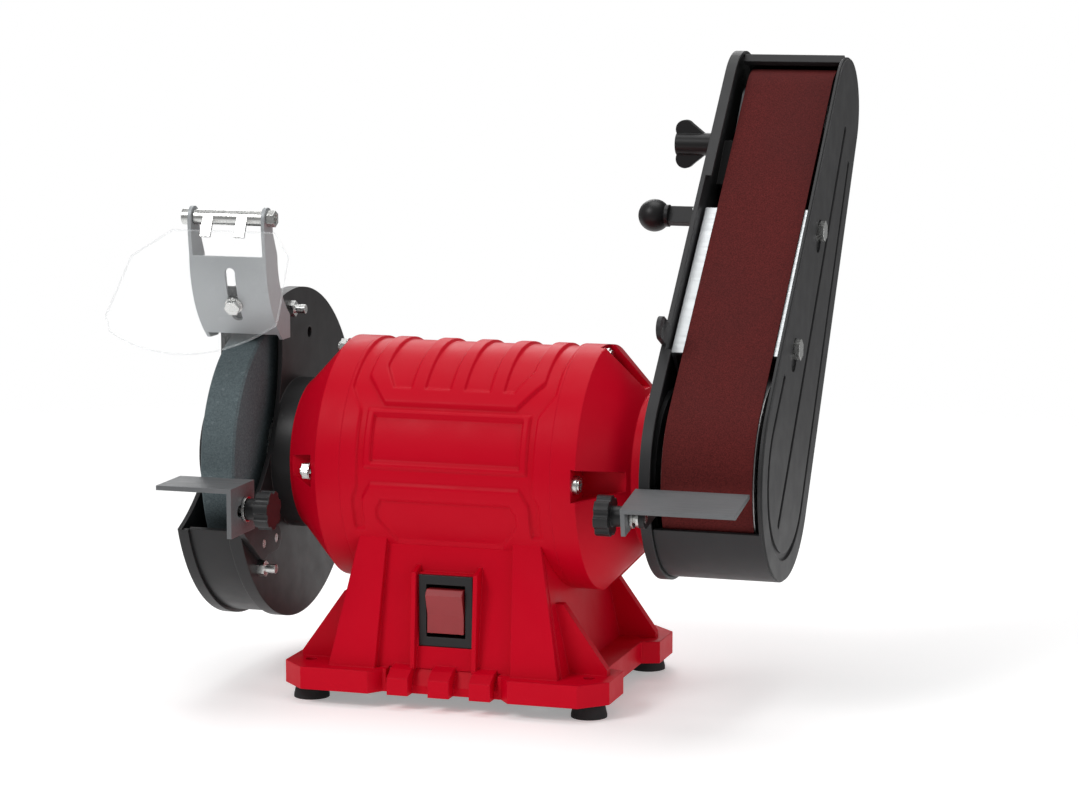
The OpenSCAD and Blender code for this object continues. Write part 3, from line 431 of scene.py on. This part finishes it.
def panel(x, angle, half_widths, radius, width=0.8):
    """1 inside a shape on the barrel. half_widths lists (angle, half-width in mm) from its lower end
    to its upper end; the distance to an edge is taken along the shaft or round the barrel, whichever
    is less."""
    angles, halves = np.transpose(half_widths)
    aside = np.interp(angle, angles, halves) - np.abs(x)
    up = np.radians(angle - angles[0]) * radius
    down = np.radians(angles[-1] - angle) * radius
    return soft_step(np.minimum(np.minimum(aside, up), down), width)


def barrel_height(x, angle, radius):
    """Relief in mm above the recessed level; x in mm, angle in degrees up from the front. The back
    has the front's relief mirrored. Inside the ring only the ribs stay raised; the plate and the
    eight-sided panel are sunk."""
    folded = np.where(angle > 90, 180 - angle, angle)
    folded = np.where(folded < -90, -180 - folded, folded)
    field = [(-27, 53.5), (-11, 53.5), (-5, 50.5), (31, 50.5), (43, 58), (99, 58)]
    low_field = panel(x, folded, field, radius)
    frame_raised = panel(x, folded, [(4, 46.3), (32, 46.3)], radius)
    ring = panel(x, folded, [(35, 37.7), (50, 50.3), (99, 50.3)], radius)
    ring_inside = panel(x, folded, [(44, 34.5), (57, 42), (99, 42)], radius)
    below = panel(x, folded, [(-40, 47.5), (-11, 47.5), (-3.5, 42.5)], radius)
    rib = sum(soft_step(RIB_HALF_WIDTH - np.abs(x - middle), RIB_SIDE) for middle in RIB_MIDDLES)
    level = 1 - low_field
    for raised in (frame_raised, ring, below):
        level = np.maximum(level, raised)
    ribs_only = np.minimum(level, np.maximum(1 - ring_inside, rib))
    level = np.where(ring_inside > 0, ribs_only, level)
    plate = panel(x, folded, [(6.5, 42.5), (29.5, 42.5)], radius, 0.6)
    eight_sided = panel(x, folded, [(-33.5, 30), (-21, 40), (-16, 40), (-11, 36.5)], radius)
    return RELIEF * level - PLATE_DEPTH * plate - PANEL_DEPTH * eight_sided


def barrel():
    """Grid round the shaft: radius = bell radius less the full relief, plus the relief's height
    there. The last columns turn in round the ends and back along the bore. Two close columns at
    either end keep its edge crisp."""
    half = 60
    bore_depth = 5.3
    inside = np.linspace(0.5 - half, half - 0.5, 232)
    x = np.concatenate([[-half, 0.1 - half], inside, [half - 0.1, half]])
    angle = np.linspace(-180, 180, 401)[:-1]
    column, row = np.meshgrid(x, angle)
    full = bell_radius / MM
    middle = shaft_z / MM
    radius = full - RELIEF + barrel_height(column, row, full)
    inner = np.full((len(angle), 1), full - bore_depth)
    radius = np.hstack([radius, inner, inner])
    column = np.hstack([column, 0 * inner + half, 0 * inner - half])
    turn = np.radians(angle)[:, None]
    return MM * np.stack([column, -radius * np.cos(turn), radius * np.sin(turn) + middle], -1)


motor_barrel = surface("motor_barrel", barrel()[::-1], around=True, along=True)
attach(motor_barrel, "frame")
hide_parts("motor_shell")
motor_barrel.data.materials.append(finishes["red_casting"])
print("barrel faces", len(motor_barrel.data.polygons))

# %% [markdown]
# ## Tension spring
#
# One end of the spring stays on the arm and the other goes with the carriage. Here it is a coil of
# its own, whose centre line is a helix along the carriage's slide.

# %% Tension spring
slide = next(joint for joint in frame["joints"] if joint["name"] == "carriage_slide")
climb = np.array(slide["axis"])
aside = np.array([1.0, 0, 0])
forward = np.cross(climb, aside)
spring_low, spring_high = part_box("tension_spring")
spring_middle = np.array((spring_low + spring_high) / 2)


def coil(turns=5, coil_r=2.2, wire_r=0.5, rise=6.2):
    """Tube round a helix, in mm: a circle of coil_r across the slide and rise along it. The wire
    narrows to a pinhole at either end."""
    pinhole = 0.02
    t = np.linspace(0, 1, turns * 24 + 1)[:, None, None]
    turn = 2 * np.pi * turns * t
    round_wire = np.linspace(0, 2 * np.pi, 12, endpoint=False)[None, :, None]
    outward = np.cos(turn) * aside + np.sin(turn) * forward
    centre = coil_r * outward + rise * (t - 0.5) * climb
    ring = np.cos(round_wire) * outward + np.sin(round_wire) * climb
    wire = np.where((t == 0) | (t == 1), pinhole, wire_r)
    return spring_middle + MM * (centre + wire * ring)


spring_coil = surface("tension_coil", coil()[::-1], around=True)
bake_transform(spring_coil)
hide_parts("tension_spring")
spring_coil.data.materials.append(finishes["core_steel"])
print("spring faces", len(spring_coil.data.polygons))

# %% [markdown]
# ## Finishes onto the CAD parts
#
# The record says which material slot each part has. Each part's object gets the finish of its slot.

# %% Paint the parts
def paint(piece, material):
    """The piece's only material is this one."""
    piece.data.materials.clear()
    piece.data.materials.append(material)


for part in frame["record"]["subparts"]:
    paint(node[part["node"]], finishes[part["material_slot"]])
print(len(finishes), "finishes on", len(node), "parts")
